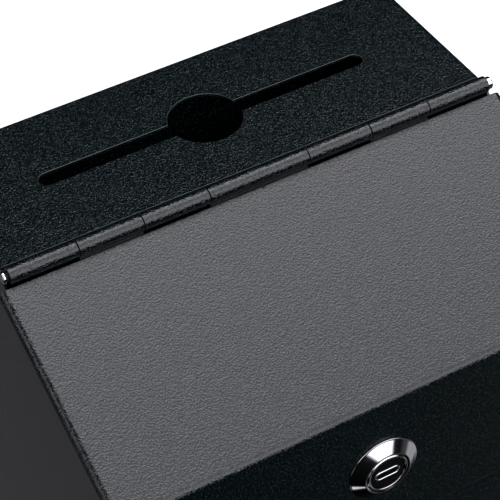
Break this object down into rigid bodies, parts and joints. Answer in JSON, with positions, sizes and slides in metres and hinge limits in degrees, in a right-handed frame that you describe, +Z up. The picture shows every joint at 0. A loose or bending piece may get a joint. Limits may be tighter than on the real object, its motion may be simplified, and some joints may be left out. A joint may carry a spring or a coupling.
{
  "type": "donation box",
  "caption": "Wall or counter donation box of folded black sheet metal with a note slot, a coin hole, and a sloped hinged lid with a front flap and cam lock.",
  "frame": {"origin": "centre of the footprint, on the surface the feet stand on", "axes": "+X to the right along the hinge seen from the front, +Y towards the back, so the lock faces -Y, +Z up"},
  "size_m": [0.186, 0.1474, 0.2165],
  "materials": {
    "powder": "semi-gloss black powder coat with a fine texture",
    "chrome": "bright polished plating",
    "steel": "bright zinc plate",
    "black": "gloss black lock face",
    "brass": "stamped, bare",
    "rubber": "matt black",
    "foam": "matt black self-adhesive foam"
  },
  "bodies": {
    "body": {"casing": "powder", "front_panel": "powder", "back_panel": "powder", "floor_panel": "powder", "hinge_leaf_body": "powder", "hinge_pin": "chrome", "hinge_pin_cap": "chrome", "rattle_pad_left": "foam", "rattle_pad_right": "foam", "foot_front_left": "rubber", "foot_front_right": "rubber", "foot_back_left": "rubber", "foot_back_right": "rubber"},
    "lid": {"lid_panel": "powder", "hinge_leaf_lid": "powder", "lock_housing": "chrome", "lock_washer": "steel", "lock_nut": "steel"},
    "plug": {"lock_plug": "chrome", "lock_face": "black", "wafer_1": "brass", "wafer_2": "brass", "wafer_3": "brass", "wafer_4": "brass", "wafer_5": "brass", "lock_cam": "steel", "cam_washer": "steel", "cam_screw": "steel", "shutter_pin": "steel", "shutter_spring": "steel"},
    "shutter": {"lock_shutter": "steel"}
  },
  "joints": [
    {"name": "lid_hinge", "type": "hinge", "parent": "body", "child": "lid", "pos_m": [0, 0.0059, 0.2136], "axis": [-1, 0, 0], "range_deg": [0, 205]},
    {"name": "lock_turn", "type": "hinge", "parent": "lid", "child": "plug", "pos_m": [0, -0.07045, 0.1458], "axis": [0, 1, 0], "range_deg": [0, 90]},
    {"name": "shutter_swing", "type": "hinge", "parent": "plug", "child": "shutter", "pos_m": [0, -0.0712, 0.1481], "axis": [1, 0, 0], "range_deg": [0, 65], "stiffness_Nm_per_rad": 0.0003, "springref_deg": -17.19}
  ]
}
